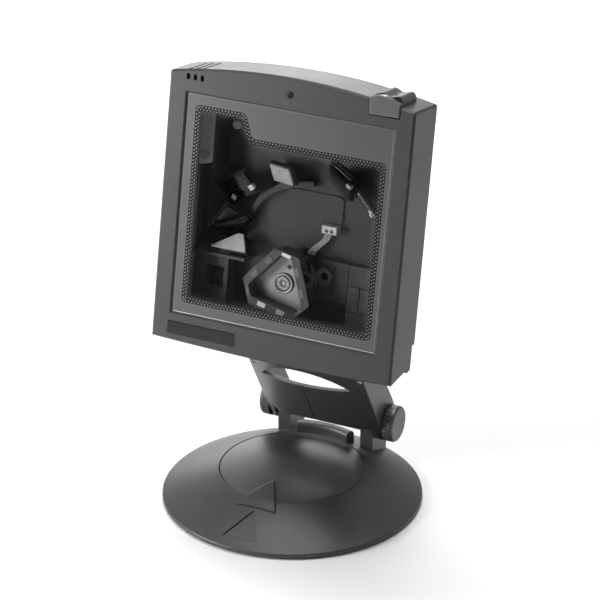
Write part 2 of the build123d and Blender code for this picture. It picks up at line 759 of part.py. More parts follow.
with BuildPart() as button_switch:
    with BuildSketch(top_plane(CHASSIS_HIGH + 1.6)):
        with Locations((BUTTON_X, BUTTON_D)):
            Rectangle(6, 6)
    extrude(amount=2.4)
    with BuildSketch(top_plane(CHASSIS_HIGH + 4.0)):
        with Locations((BUTTON_X, BUTTON_D)):
            Circle(1.7)
    extrude(amount=1.1)
save(button_switch, "button_switch")

with BuildPart() as beeper:
    add(box_between(-67, -51, 146.5, 154.2, 4.4, 8.4))
    with BuildSketch(face_plane(4.4, -59, 150.3)):
        Circle(3.0)
    extrude(amount=0.6)
save(beeper, "beeper")

# ------------------------------------------------------------ optics chassis
with BuildPart() as optics_chassis:
    with BuildSketch(face_plane(CHASSIS_FRONT)):
        with Locations((0, (CHASSIS_LOW + CHASSIS_HIGH) / 2)):
            Rectangle(2 * CHASSIS_HALF, CHASSIS_HIGH - CHASSIS_LOW)
    extrude(amount=-(CHASSIS_BACK - CHASSIS_FRONT))
    with BuildSketch(face_plane(CHASSIS_FRONT)):
        with Locations((0, (CHASSIS_LOW + CHASSIS_HIGH) / 2)):
            Rectangle(
                2 * (CHASSIS_HALF - CHASSIS_WALL), CHASSIS_HIGH - CHASSIS_LOW - 2 * CHASSIS_WALL
            )
    extrude(amount=-(CHASSIS_FLOOR - CHASSIS_FRONT), mode=Mode.SUBTRACT)
    # arched wall that frames the central plate
    with BuildSketch(face_plane(CHASSIS_FLOOR)):
        with BuildLine():
            Polyline((-29.8, 76), (-29.8, 78))
            Spline((-29.8, 78), (-21, 91), (-6, 98.6), (8, 101))
            Polyline((8, 101), (8, 97.9))
            Spline((8, 97.9), (-5, 95.4), (-18.5, 88.5), (-26.8, 77.5))
            Polyline((-26.8, 77.5), (-26.8, 76), (-29.8, 76))
        make_face()
    extrude(amount=4.5)
    # raised rounded plate in the middle of the floor
    with BuildSketch(face_plane(CHASSIS_FLOOR, 8, 86)):
        RectangleRounded(36, 16.5, 3.5)
    extrude(amount=1.0)
    # deep rib beside the left wall and stepped box in the lower corner
    with BuildSketch(face_plane(CHASSIS_FLOOR)):
        with Locations((-49.5, 122)):
            Rectangle(2.0, 42)
        with Locations((-42.7, 51.2)):
            Rectangle(33.6, 1.6)
    extrude(amount=16)
    with BuildSketch(face_plane(CHASSIS_FLOOR, -48.5, 36)):
        Rectangle(22, 34)
    extrude(amount=12)
    with BuildSketch(face_plane(CHASSIS_FLOOR - 12, -45.5, 37)):
        Rectangle(11, 13)
    extrude(amount=-7, mode=Mode.SUBTRACT)
    # lower right shelf with panel grooves
    with BuildSketch(face_plane(CHASSIS_FLOOR, 47, 38)):
        Rectangle(25, 39)
    extrude(amount=5.0)
    with BuildSketch(face_plane(CHASSIS_FLOOR - 5, 47, 38)):
        with GridLocations(0, 15, 1, 2):
            Rectangle(21, 0.8)
        with Locations((-5, 0)):
            Rectangle(0.8, 14.5)
    extrude(amount=-0.8, mode=Mode.SUBTRACT)
    # the rear lower edge steps forward over the thin part of the rear cover
    with BuildSketch(face_plane(24.2, 0, 20.4)):
        Rectangle(2 * CHASSIS_HALF - CHASSIS_WALL, 3.8)
    extrude(amount=-(CHASSIS_FLOOR - 24.2))
    with BuildSketch(face_plane(25.7, 0, 18.4)):
        Rectangle(2 * CHASSIS_HALF + 2, 4.0)
    extrude(amount=-10, mode=Mode.SUBTRACT)
    # well for the motor and four standoffs for the main board
    with BuildSketch(face_plane(CHASSIS_FLOOR, WHEEL_X, WHEEL_U)):
        Circle(7)
    extrude(amount=-1.5, mode=Mode.SUBTRACT)
    with BuildSketch(face_plane(CHASSIS_BACK, 0, BOARD_U)):
        with GridLocations(BOARD_HOLES_X, BOARD_HOLES_U, 2, 2):
            Circle(3.0)
    extrude(amount=-4.0)
    with BuildSketch(face_plane(BOARD_FRONT, 0, BOARD_U)):
        with GridLocations(BOARD_HOLES_X, BOARD_HOLES_U, 2, 2):
            Circle(1.2)
    extrude(amount=5.4, mode=Mode.SUBTRACT)
    # bosses behind the floor for the two chassis screws
    with BuildSketch(face_plane(CHASSIS_BACK, 0, CHASSIS_SCREW_U)):
        with GridLocations(2 * CHASSIS_SCREW_X, 0, 2, 1):
            Circle(2.8)
    extrude(amount=-3.2)
    with BuildSketch(face_plane(CHASSIS_FLOOR, 0, CHASSIS_SCREW_U)):
        with GridLocations(2 * CHASSIS_SCREW_X, 0, 2, 1):
            Circle(1.2)
    extrude(amount=-4.4, mode=Mode.SUBTRACT)
save(optics_chassis, "optics_chassis")

with BuildPart() as chassis_screws:
    for x in (-CHASSIS_SCREW_X, CHASSIS_SCREW_X):
        with Locations(face_plane(CHASSIS_FLOOR, x, CHASSIS_SCREW_U).location):
            add(cross_screw(2.6, 1.7, 1.2, 4.2))
save(chassis_screws, "chassis_screws")


# -------------------------------------------------------------- fold mirrors
def mirror_plane(azimuth, radius, depth, spin, tilt):
    """Mirror seat facing back towards the polygon wheel and out of the window."""
    a = math.radians(azimuth)
    t = math.radians(tilt)
    around = Vector(-math.sin(a), 0, 0) + UP * math.cos(a)
    outward = Vector(math.cos(a), 0, 0) + UP * math.sin(a)
    slope = outward * math.cos(t) - REAR * math.sin(t)
    centre = head_point(WHEEL_X, WHEEL_U, depth) + outward * radius
    return Plane(origin=centre, x_dir=around, z_dir=around.cross(slope)).rotated((0, 0, spin))


# azimuth and radius about the wheel, depth, spin, tilt, width, height
FOLD_MIRRORS = {
    "fold_mirror_top": (97, 62, 17, -25, 24, 16.5, 10.5),
    "fold_mirror_upper_left": (125, 60, 17, -20, 24, 23.5, 13.5),
    "fold_mirror_left": (143, 46, 18, -19, 50, 20.0, 17.5),
    "fold_mirror_upper_right": (66, 70, 17, -8, 35, 16.5, 22.0),
    "fold_mirror_right": (48, 70, 16, -4, 52, 19.0, 14.5),
}

for name, (azimuth, radius, depth, spin, tilt, width, height) in FOLD_MIRRORS.items():
    with BuildPart() as fold_mirror:
        with BuildSketch(mirror_plane(azimuth, radius, depth, spin, tilt)):
            Rectangle(width, height)
        extrude(amount=MIRROR_T)
        chamfer(fold_mirror.edges(), 0.25)
    save(fold_mirror, name)

with BuildPart() as mirror_brackets:
    for azimuth, radius, depth, spin, tilt, width, height in FOLD_MIRRORS.values():
        with BuildSketch(mirror_plane(azimuth, radius, depth, spin, tilt).offset(MIRROR_T)):
            Rectangle(width + 1.6, height + 1.6)
        extrude(amount=BRACKET_T)
        post_x = WHEEL_X + radius * math.cos(math.radians(azimuth))
        post_u = WHEEL_U + radius * math.sin(math.radians(azimuth))
        slant = math.radians(tilt)
        post_top = depth + MIRROR_T / math.cos(slant) + BRACKET_POST_R * math.tan(slant) + 0.6
        with BuildSketch(face_plane(CHASSIS_FLOOR, post_x, post_u)):
            Circle(BRACKET_POST_R)
        extrude(amount=CHASSIS_FLOOR - post_top)
save(mirror_brackets, "mirror_brackets")

# ------------------------------------------------------------- polygon wheel
wheel_axis_front = face_plane(WHEEL_FRONT, WHEEL_X, WHEEL_U)


def wheel_outline(apothem, corner_apothem):
    """Triangle with its corners cut off square."""
    with BuildSketch() as outline:
        RegularPolygon(apothem, 3, major_radius=False, rotation=FACET_PHASE + 60)
        RegularPolygon(
            corner_apothem, 3, major_radius=False, rotation=FACET_PHASE, mode=Mode.INTERSECT
        )
    return outline.sketch


with BuildPart() as polygon_frame:
    with BuildSketch(wheel_axis_front):
        add(wheel_outline(FACET_APOTHEM - FACET_T, CORNER_APOTHEM))
    extrude(amount=-(WHEEL_BACK - WHEEL_FRONT))
    # front lip that covers the ends of the mirror strips
    with BuildSketch(wheel_axis_front):
        add(wheel_outline(FACET_APOTHEM, CORNER_APOTHEM))
    extrude(amount=-WHEEL_LIP)
    with BuildSketch(wheel_axis_front):
        add(wheel_outline(WHEEL_INNER, WHEEL_INNER_CORNER))
    extrude(amount=-9.5, mode=Mode.SUBTRACT)
    with BuildSketch(face_plane(WHEEL_BACK, WHEEL_X, WHEEL_U)):
        Circle(HUB_R)
    extrude(amount=10, mode=Mode.SUBTRACT)
save(polygon_frame, "polygon_frame")


def facet_plane(angle):
    """Outer face of one long side of the wheel, local x along the side."""
    a = math.radians(angle)
    outward = Vector(math.cos(a), 0, 0) + UP * math.sin(a)
    along = Vector(-math.sin(a), 0, 0) + UP * math.cos(a)
    middle = head_point(WHEEL_X, WHEEL_U, (WHEEL_FRONT + WHEEL_LIP + WHEEL_BACK) / 2)
    return Plane(origin=middle + outward * FACET_APOTHEM, x_dir=along, z_dir=outward)


with BuildPart() as facet_mirrors:
    for turn in range(3):
        with BuildSketch(facet_plane(FACET_PHASE + 120 * turn)):
            Rectangle(26.6, WHEEL_BACK - WHEEL_FRONT - WHEEL_LIP - 0.4)
        extrude(amount=-FACET_T)
save(facet_mirrors, "facet_mirrors")

with BuildPart() as mirror_clips:
    for turn in range(3):
        a = FACET_PHASE + 120 * turn
        with BuildSketch(face_plane(WHEEL_FRONT, WHEEL_X, WHEEL_U)):
            with Locations(Location((0, 0, 0), (0, 0, a))):
                with Locations((14.1, 6.1), (14.1, -6.1)):
                    Rectangle(2.6, 5.0)
            with Locations(Location((0, 0, 0), (0, 0, a + 60))):
                with Locations((19.1, 0)):
                    Rectangle(1.8, 5.6)
        extrude(amount=0.4)
save(mirror_clips, "mirror_clips")

with BuildPart() as polygon_plate:
    with BuildSketch(face_plane(WHEEL_FRONT + 8.5, WHEEL_X, WHEEL_U)):
        add(wheel_outline(WHEEL_INNER - 0.1, WHEEL_INNER_CORNER - 0.2))
    extrude(amount=-1.0)
    with BuildSketch(face_plane(WHEEL_FRONT + 8.5, WHEEL_X, WHEEL_U)):
        Circle(HUB_R)
        with PolarLocations(10.4, 1, start_angle=FACET_PHASE + 56):
            Circle(1.4)
    extrude(amount=-2.0, mode=Mode.SUBTRACT)
save(polygon_plate, "polygon_plate")

with BuildPart() as rotor_hub:
    with BuildSketch(face_plane(WHEEL_FRONT + 7.3, WHEEL_X, WHEEL_U)):
        Circle(6.2)
    extrude(amount=-1.2)
    with BuildSketch(face_plane(WHEEL_FRONT + 8.5, WHEEL_X, WHEEL_U)):
        Circle(HUB_R)
    extrude(amount=-5.5)
    with BuildSketch(face_plane(WHEEL_FRONT + 9.5, WHEEL_X, WHEEL_U)):
        Circle(SHAFT_R + RUN_GAP)
    extrude(amount=-10, mode=Mode.SUBTRACT)
    chamfer(rotor_hub.faces().sort_by(Axis((0, 0, 0), tuple(REAR)))[0].edges(), 0.4)
    # turned groove and centre recess in the face of the flange
    with BuildSketch(face_plane(WHEEL_FRONT + 7.3, WHEEL_X, WHEEL_U)):
        Circle(4.9)
        Circle(3.9, mode=Mode.SUBTRACT)
        Circle(1.3)
    extrude(amount=-0.6, mode=Mode.SUBTRACT)
save(rotor_hub, "rotor_hub")

with BuildPart() as rotor_cup:
    with BuildSketch(face_plane(WHEEL_BACK, WHEEL_X, WHEEL_U)):
        Circle(CUP_R)
    extrude(amount=-CUP_D)
    chamfer(rotor_cup.faces().sort_by(Axis((0, 0, 0), tuple(REAR)))[0].edges(), 0.6)
    with BuildSketch(face_plane(WHEEL_BACK + CUP_WALL, WHEEL_X, WHEEL_U)):
        Circle(CUP_R - CUP_WALL)
    extrude(amount=-6, mode=Mode.SUBTRACT)
    with BuildSketch(face_plane(WHEEL_BACK - 1, WHEEL_X, WHEEL_U)):
        Circle(HUB_R)
    extrude(amount=-4, mode=Mode.SUBTRACT)
save(rotor_cup, "rotor_cup")

with BuildPart() as rotor_magnet:
    with BuildSketch(face_plane(WHEEL_BACK + CUP_WALL, WHEEL_X, WHEEL_U)):
        Circle(CUP_R - CUP_WALL)
        Circle(CUP_R - 3.4, mode=Mode.SUBTRACT)
    extrude(amount=-4.2)
save(rotor_magnet, "rotor_magnet")

with BuildPart() as motor_base:
    with BuildSketch(face_plane(MOTOR_FRONT, WHEEL_X, WHEEL_U)):
        Circle(17.4)
        with Locations((9.5, 16.0)):
            Rectangle(9, 7)
    extrude(amount=-(CHASSIS_FLOOR - MOTOR_FRONT))
    with BuildSketch(face_plane(CHASSIS_FLOOR, WHEEL_X, WHEEL_U)):
        Circle(6.9)
    extrude(amount=-1.5)
    with BuildSketch(face_plane(MOTOR_FRONT, WHEEL_X, WHEEL_U)):
        Circle(SHAFT_R)
    extrude(amount=-2, mode=Mode.SUBTRACT)
save(motor_base, "motor_base")

with BuildPart() as motor_shaft:
    with BuildSketch(face_plane(WHEEL_FRONT + 9.7, WHEEL_X, WHEEL_U)):
        Circle(SHAFT_R)
    extrude(amount=-(MOTOR_FRONT + 2 - WHEEL_FRONT - 9.7))
save(motor_shaft, "motor_shaft")

with BuildPart() as motor_coils:
    with BuildSketch(face_plane(22.6, WHEEL_X, WHEEL_U)):
        with PolarLocations(8.6, 9):
            SlotOverall(6.4, 4.4)
    extrude(amount=-3.8)
save(motor_coils, "motor_coils")

with BuildPart() as motor_plug:
    add(box_between(PLUG_X - 4.5, PLUG_X + 4.5, PLUG_U, PLUG_U + 4.5, 22.6, CHASSIS_FLOOR))
    with BuildSketch(top_plane(PLUG_U)):
        with Locations((PLUG_X, 25.4)):
            Rectangle(7.6, 4.0)
    extrude(amount=2.4, mode=Mode.SUBTRACT)
    # two latch windows in the front wall
    with BuildSketch(face_plane(22.6, PLUG_X, PLUG_U + 1.5)):
        with GridLocations(3.0, 0, 2, 1):
            Rectangle(1.9, 1.9)
    extrude(amount=-1.0, mode=Mode.SUBTRACT)
save(motor_plug, "motor_plug")

with BuildPart() as motor_wires:
    for order in range(4):
        start_x = PLUG_X - 3.3 + 1.1 * order
        end_x = 7.2 + 1.3 * order
        with BuildLine() as run:
            Spline(
                head_point(start_x, PLUG_U + 2.0, 25.4),
                head_point(start_x - 0.7, 69.6, 25.2),
                head_point(end_x + 3.8 - 0.1 * order, 63.8, 24.9),
                head_point(end_x + 0.8, 60.2, 25.2),
                head_point(end_x, 58.6, 25.8),
            )
        with BuildSketch(Plane(origin=run.line @ 0, z_dir=run.line % 0)):
            Circle(WIRE_R)
        sweep()
save(motor_wires, "motor_wires")

# ------------------------------------------------- laser, collector, detector
with BuildPart() as laser_module:
    add(box_between(15.8, 33.8, 34.0, 57.5, 24.0, CHASSIS_FLOOR))
    with BuildSketch(face_plane(22.0, LASER_X, LASER_U)):
        Circle(4.8)
    extrude(amount=-2.0)
    with BuildSketch(face_plane(22.0, LASER_X, LASER_U)):
        Circle(2.7)
    extrude(amount=-4.4, mode=Mode.SUBTRACT)
    with BuildSketch(face_plane(24.0, 28.4, 45.7)):
        Rectangle(7.0, 17.0)
    extrude(amount=-0.8, mode=Mode.SUBTRACT)
save(laser_module, "laser_module")

with BuildPart() as laser_lens:
    with BuildSketch(face_plane(24.2, LASER_X, LASER_U)):
        Circle(2.7)
    extrude(amount=-1.2)
save(laser_lens, "laser_lens")

collector_seat = Plane(
    origin=head_point(-38, 60, 15),
    x_dir=(1, 0, 0),
    z_dir=UP * math.sin(math.radians(35)) - REAR * math.cos(math.radians(35)),
)

with BuildPart() as collector_mirror:
    with BuildSketch(collector_seat):
        Polygon((-9.6, -4.8), (12.5, -4.8), (7.6, 5.5), (4.2, 5.5), align=None)
    extrude(amount=-1.6)
save(collector_mirror, "collector_mirror")

with BuildPart() as collector_bracket:
    with BuildSketch(collector_seat.offset(-1.6)):
        Polygon((-10.4, -5.6), (13.4, -5.6), (8.2, 6.2), (3.8, 6.2), align=None)
    extrude(amount=-1.4)
    with BuildSketch(face_plane(CHASSIS_FLOOR, -32, 57.5)):
        Circle(2.2)
    extrude(amount=12.5)
    with BuildSketch(collector_seat.offset(-1.6)):
        Rectangle(60, 60)
    extrude(amount=20, mode=Mode.SUBTRACT)
save(collector_bracket, "collector_bracket")

with BuildPart() as detector_board:
    add(box_between(-50.8, -40.2, 30.7, 43.3, 22.0, 23.5))
save(detector_board, "detector_board")

with BuildPart() as photodiode:
    add(box_between(-48.5, -42.5, 34.0, 40.0, 20.4, 22.0))
    with BuildSketch(face_plane(20.4, -45.5, 37)):
        Rectangle(4.2, 4.2)
    extrude(amount=-0.3, mode=Mode.SUBTRACT)
save(photodiode, "photodiode")

# --------------------------------------------------------------- electronics
with BuildPart() as main_board:
    with BuildSketch(face_plane(BOARD_FRONT, 0, BOARD_U)):
        RectangleRounded(100, 104, 2)
    extrude(amount=-BOARD_T)
    with BuildSketch(face_plane(BOARD_FRONT, 0, BOARD_U)):
        with GridLocations(BOARD_HOLES_X, BOARD_HOLES_U, 2, 2):
            Circle(1.6)
    extrude(amount=-BOARD_T, mode=Mode.SUBTRACT)
save(main_board, "main_board")

with BuildPart() as board_chips:
    chip_depth = BOARD_FRONT + BOARD_T
    with BuildSketch(face_plane(chip_depth)):
        with Locations((-12, 92)):
            Rectangle(16, 16)
        with Locations((18, 96), (18, 80)):
            Rectangle(9, 7)
        with Locations((-36, 70)):
            Rectangle(7, 12)
    extrude(amount=-1.8)
    with BuildSketch(face_plane(chip_depth)):
        with Locations((-38, 108), (-27, 108), (36, 60)):
            Circle(4)
    extrude(amount=-7.0)
save(board_chips, "board_chips")

with BuildPart() as board_screws:
    for x in (-BOARD_HOLES_X / 2, BOARD_HOLES_X / 2):
        for u in (BOARD_U - BOARD_HOLES_U / 2, BOARD_U + BOARD_HOLES_U / 2):
            seat = Plane(
                origin=head_point(x, u, BOARD_FRONT + BOARD_T), x_dir=(1, 0, 0), z_dir=REAR
            )
            with Locations(seat.location):
                add(cross_screw(2.5, 1.8, 1.2, 6.0))
save(board_screws, "board_screws")

with BuildPart() as interface_jack:
    add(box_between(JACK_X - 5.7, JACK_X + 5.7, 21.5, 32.5, JACK_D - 3.8, JACK_D + 3.6))
    with BuildSketch(top_plane(21.5)):
        with Locations((JACK_X, JACK_D)):
            Rectangle(9.0, 6.0)
    extrude(amount=9.0, mode=Mode.SUBTRACT)
save(interface_jack, "interface_jack")
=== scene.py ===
import math

import bmesh
import bpy
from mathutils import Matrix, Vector


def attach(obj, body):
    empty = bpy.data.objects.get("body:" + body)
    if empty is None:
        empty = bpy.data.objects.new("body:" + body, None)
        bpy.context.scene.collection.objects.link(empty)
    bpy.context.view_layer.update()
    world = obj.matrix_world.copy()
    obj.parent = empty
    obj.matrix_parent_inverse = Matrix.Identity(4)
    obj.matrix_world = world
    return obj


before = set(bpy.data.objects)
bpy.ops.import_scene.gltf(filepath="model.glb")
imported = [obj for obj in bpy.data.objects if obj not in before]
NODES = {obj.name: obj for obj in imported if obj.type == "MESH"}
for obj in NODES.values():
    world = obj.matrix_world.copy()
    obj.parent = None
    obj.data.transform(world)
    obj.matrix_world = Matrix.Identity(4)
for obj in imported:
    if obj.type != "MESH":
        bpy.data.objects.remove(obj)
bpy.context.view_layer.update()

# Materials for every CAD node, the print on the scan window and a painted glint along its edge, two
# small pieces of the optics (a ledge painted light and spring clips), the stage and the camera. Scene
# lengths are metres. Places on the head are millimetres in head coordinates: x across, u up the face
# and depth to the rear, from the middle of its bottom edge.
MM = 0.001

# --------------------------------------------------------- head coordinates
LEAN = math.radians(11.0)
UP = Vector((0.0, math.sin(LEAN), math.cos(LEAN)))
REAR = Vector((0.0, math.cos(LEAN), -math.sin(LEAN)))
FACE_FOOT = Vector((0.0, -0.0308, 0.1021))


def head_point(x, u, depth):
    """Place in the scene of a point in head coordinates."""
    return FACE_FOOT + (Vector((x, 0.0, 0.0)) + UP * u + REAR * depth) * MM


def head_extent(node):
    """Lowest and highest (x, u, depth) that a CAD node of the head reaches."""
    arms = [vertex.co - FACE_FOOT for vertex in NODES[node].data.vertices]
    places = [(arm.x / MM, arm.dot(UP) / MM, arm.dot(REAR) / MM) for arm in arms]
    return [min(values) for values in zip(*places)], [max(values) for values in zip(*places)]


def head_axis(node):
    """The (x, u) of the axis of a round node that points to the rear."""
    low, high = head_extent(node)
    return (low[0] + high[0]) / 2, (low[1] + high[1]) / 2


WHEEL_AXIS = head_axis("motor_shaft")
LASER_AXIS = head_axis("laser_lens")


# ------------------------------------------------------------- node helpers
class Graph:
    """Short-hand for building the node tree of a material or a world."""

    def __init__(self, owner, output, coords):
        owner.use_nodes = True
        self.owner = owner
        self.tree = owner.node_tree
        self.tree.nodes.clear()
        self.output = self.node("Output" + output)
        self.coords = self.node("TexCoord").outputs[coords]

    def node(self, kind, *inputs, sockets=None, **settings):
        """New node; inputs fill its sockets in order, None leaves one alone."""
        item = self.tree.nodes.new("ShaderNode" + kind)
        for key, value in settings.items():
            setattr(item, key, value)
        for index, value in enumerate(inputs):
            self.feed(item.inputs[index], value)
        for key, value in (sockets or {}).items():
            self.feed(item.inputs[key], value)
        return item

    def feed(self, socket, value):
        if value is None:
            return
        if isinstance(value, bpy.types.NodeSocket):
            self.tree.links.new(value, socket)
        elif socket.type == "RGBA":
            socket.default_value = (*value, 1.0)
        else:
            socket.default_value = value

    def calc(self, operation, a, b):
        return self.node("Math", a, b, operation=operation).outputs[0]

    def noise(self, scale, detail=3.0, rough=0.55, coords=None):
        sockets = {"Scale": scale, "Detail": detail, "Roughness": rough, "Vector": coords or self.coords}
        return self.node("TexNoise", sockets=sockets).outputs["Fac"]

    def voronoi(self, scale):
        """Distance from the middle of the nearest cell."""
        return self.node("TexVoronoi", sockets={"Scale": scale, "Vector": self.coords}).outputs["Distance"]

    def ramp(self, value, low, high, to_low=0.0, to_high=1.0):
        return self.node("MapRange", value, low, high, to_low, to_high).outputs[0]

    def mix(self, factor, a, b):
        item = self.node("Mix", data_type="RGBA")
        for index, value in ((0, factor), (6, a), (7, b)):
            self.feed(item.inputs[index], value)
        return item.outputs[2]

    def rounded(self, radius):
        """Normal with its edges rounded, and a mask that is 1 along the edges."""
        bevel = self.node("Bevel", radius, samples=6).outputs[0]
        flat = self.node("NewGeometry").outputs["Normal"]
        dot = self.node("VectorMath", bevel, flat, operation="DOT_PRODUCT").outputs["Value"]
        return bevel, self.ramp(dot, 0.995, 0.8)

    def bump(self, height, strength, distance, normal):
        sockets = {"Height": height, "Strength": strength, "Distance": distance, "Normal": normal}
        return self.node("Bump", sockets=sockets).outputs[0]

    def arm(self, axis):
        """Vector to each point from an axis of the head, given by its (x, u)."""
        root = tuple(head_point(*axis, 0.0))
        return self.node("VectorMath", self.coords, root, operation="SUBTRACT").outputs[0]

    def across(self, axis, direction):
        """Distance in metres along a direction from an axis of the head."""
        dot = self.node("VectorMath", self.arm(axis), tuple(direction), operation="DOT_PRODUCT")
        return dot.outputs["Value"]

    def turned(self, axis, rings, reach):
        """Grey rings about an axis of the head, as (radius, brightness) pairs within a reach in mm."""
        cross = self.node("VectorMath", self.arm(axis), tuple(REAR), operation="CROSS_PRODUCT").outputs[0]
        radius = self.node("VectorMath", cross, operation="LENGTH").outputs["Value"]
        scale = self.node("ValToRGB", self.calc("DIVIDE", radius, reach * MM))
        stops = scale.color_ramp.elements
        while len(stops) < len(rings):
            stops.new(1.0)
        for stop, (position, brightness) in zip(stops, rings):
            stop.position = position / reach
            stop.color = (*grey(brightness), 1.0)
        return scale.outputs["Color"]

    def principled(self, **sockets):
        names = {key.replace("_", " "): value for key, value in sockets.items()}
        return self.node("BsdfPrincipled", sockets=names).outputs[0]

    def finish(self, surface):
        self.feed(self.output.inputs["Surface"], surface)
        return self.owner


def material_graph(name):
    return Graph(bpy.data.materials.new(name), "Material", "Object")


def grey(shade):
    return (shade, shade, shade)


def scaled(colour, factor):
    return tuple(min(1.0, channel * factor) for channel in colour)


# -------------------------------------------------------- kinds of material
# MIDTONES is the stretch of a noise that most of its values fall in. Noise scales are in features
# per metre, so 2600 is a grain of about 0.4 mm and 14 a blotch of about 70 mm.
MIDTONES = (0.3, 0.7)
BLOTCHES = 14.0
SMEARS = 40.0
SCUFFS = 90.0
PLASTIC_GRAIN = 2600.0
GRAIN_DEPTH = 0.04 * MM
BRUSH_DEPTH = 0.03 * MM
DUST = (0.32, 0.31, 0.30)
RING_GREY = grey(0.42)
GLASS_EDGE = (0.10, 0.12, 0.11)


def moulded(name, colour, rough=0.42, grain=PLASTIC_GRAIN, grain_strength=0.35, edge=0.5, wear_and_highlight=0.35,
            dust=0.0, coat=0.0, specular=0.5, speckle=0.2, rings=None):
    """Injection-moulded plastic: fine spark texture, soft edges, slight handling shine.

    edge is the radius of the soft edges in millimetres, wear how far scuffed edges lighten, both as
    scuffing and as a painted highlight along the edges, speckle how far the grain lightens the colour,
    and rings what the ring method of Graph takes.
    """
    g = material_graph(name)
    normal, edges = g.rounded(edge * MM)
    fine = g.noise(grain, 2.0, 0.6)
    pits = g.voronoi(grain * 0.55)
    scuffs = g.noise(SCUFFS, 6.0, 0.7)
    tone = g.mix(g.ramp(g.noise(BLOTCHES, 2.0), *MIDTONES), scaled(colour, 0.95), scaled(colour, 1.05))
    tone = g.mix(g.ramp(fine, 0.35, 0.75, 0.0, speckle), tone, scaled(colour, 1.45))
    # Edges lighten along scuffs: scuffing on most parts, and a painted highlight along the edges where the
    # setting is high, as on the wheel, the laser module and the yoke.
    worn_and_lit_edges = g.calc("MULTIPLY", edges, g.ramp(scuffs, 0.42, 0.66, 0.15, wear_and_highlight))
    tone = g.mix(worn_and_lit_edges, tone, scaled(colour, 2.6))
    if rings:
        tone = g.mix(g.turned(*rings), tone, RING_GREY)
    if dust:
        facing_up = g.node("SeparateXYZ", g.node("NewGeometry").outputs["Normal"]).outputs["Z"]
        settled = g.calc("MULTIPLY", g.ramp(facing_up, 0.5, 0.95), g.ramp(scuffs, 0.35, 0.7, 0.0, dust))
        tone = g.mix(settled, tone, DUST)
    smears = g.ramp(g.noise(SMEARS, 4.0), *MIDTONES, rough - 0.02, rough + 0.03)
    shine = g.calc("SUBTRACT", smears, g.calc("MULTIPLY", worn_and_lit_edges, 0.12))
    height = g.calc("ADD", fine, g.calc("MULTIPLY", pits, 0.8))
    return g.finish(g.principled(
        Base_Color=tone, Roughness=shine, Normal=g.bump(height, grain_strength, GRAIN_DEPTH, normal),
        IOR=1.5, Specular_IOR_Level=specular, Coat_Weight=coat, Coat_Roughness=0.2))


def metal(name, colour, rough=0.25, brush=(1.0, 1.0, 1.0), edge=0.2, grime=0.25, rings=None, shaded_side=None):
    """Metal with brushing stretched by brush, dull patches and brighter edges.

    rings is what the ring method of Graph takes. The side direction, when given, paints shade on the
    clips of the mirror wheel, darkening all apart from those far out along it or opposite to it, which keep a
    painted highlight.
    """
    g = material_graph(name)
    normal, edges = g.rounded(edge * MM)
    stretched = g.node("Mapping", g.coords, sockets={"Scale": brush}).outputs[0]
    lines = g.noise(3000.0, 3.0, 0.6, stretched)
    tone = g.mix(g.ramp(g.noise(120.0, 4.0), 0.35, 0.7, 0.0, grime), colour, scaled(colour, 0.55))
    tone = g.mix(g.ramp(lines, *MIDTONES, 0.0, 0.18), tone, scaled(colour, 0.75))
    tone = g.mix(g.calc("MULTIPLY", edges, 0.5), tone, scaled(colour, 1.25))
    if rings:
        tone = g.mix(g.turned(*rings), scaled(colour, 0.12), tone)
    # Painted shade: clips of the mirror wheel are darkened unless they lie far out along the side direction,
    # so only those look lit.
    if shaded_side:
        offset = g.across(WHEEL_AXIS, shaded_side)
        near, far = (g.ramp(offset, start * MM, full * MM) for start, full in PAINTED_LIT_CLIPS)
        tone = g.mix(g.calc("MAXIMUM", near, far), scaled(colour, 0.22), tone)
    shine = g.ramp(lines, *MIDTONES, rough - 0.06, rough + 0.12)
    bumped = g.bump(lines, 0.15, BRUSH_DEPTH, normal)
    return g.finish(g.principled(Base_Color=tone, Metallic=1.0, Roughness=shine, Normal=bumped))


def mirror_glass(name, tone=0.9, blur=0.015, cloud=0.055, patches=160.0, metallic=1.0):
    """Front-silvered glass: clear reflection, faint haze, dark ground edges."""
    g = material_graph(name)
    normal, edges = g.rounded(0.3 * MM)
    haze = g.noise(patches, 5.0, 0.7)
    silver = g.mix(g.ramp(haze, 0.35, 0.7), grey(tone), scaled(grey(tone), 0.7))
    silver = g.mix(edges, silver, GLASS_EDGE)
    shine = g.calc("ADD", g.ramp(haze, 0.4, 0.8, blur, blur + cloud), g.calc("MULTIPLY", edges, 0.3))
    return g.finish(g.principled(Base_Color=silver, Metallic=metallic, Roughness=shine, Normal=normal))


def clear_pane(name, tint, rough=0.03, smudge=0.05, coating=0.15):
    """Thin coated pane: light passes straight through, the surface still reflects a little."""
    g = material_graph(name)
    shine = g.ramp(g.noise(55.0, 5.0, 0.65), 0.5, 0.72, rough, rough + smudge)
    weight = g.calc("MULTIPLY", g.node("Fresnel", 1.5).outputs[0], coating)
    through = g.mix(g.ramp(g.noise(400.0, 3.0), 0.3, 0.8, 0.0, 0.06), tint, scaled(tint, 0.9))
    clear = g.node("BsdfTransparent", through).outputs[0]
    gloss = g.node("BsdfGlossy", sockets={"Color": grey(1.0), "Roughness": shine}).outputs[0]
    return g.finish(g.node("MixShader", weight, clear, gloss).outputs[0])


def rubbery(name, colour, rough):
    """Matt rubber or closed-cell foam with fine pores."""
    g = material_graph(name)
    normal, edges = g.rounded(0.4 * MM)
    cloud = g.noise(50.0, 4.0)
    tone = g.mix(g.ramp(cloud, *MIDTONES), scaled(colour, 0.8), scaled(colour, 1.3))
    tone = g.mix(g.calc("MULTIPLY", edges, 0.4), tone, scaled(colour, 2.2))
    pores = g.bump(g.voronoi(1500.0), 0.3, 0.06 * MM, normal)
    shine = g.ramp(cloud, *MIDTONES, rough - 0.06, rough + 0.08)
    return g.finish(g.principled(Base_Color=tone, Roughness=shine, Normal=pores))


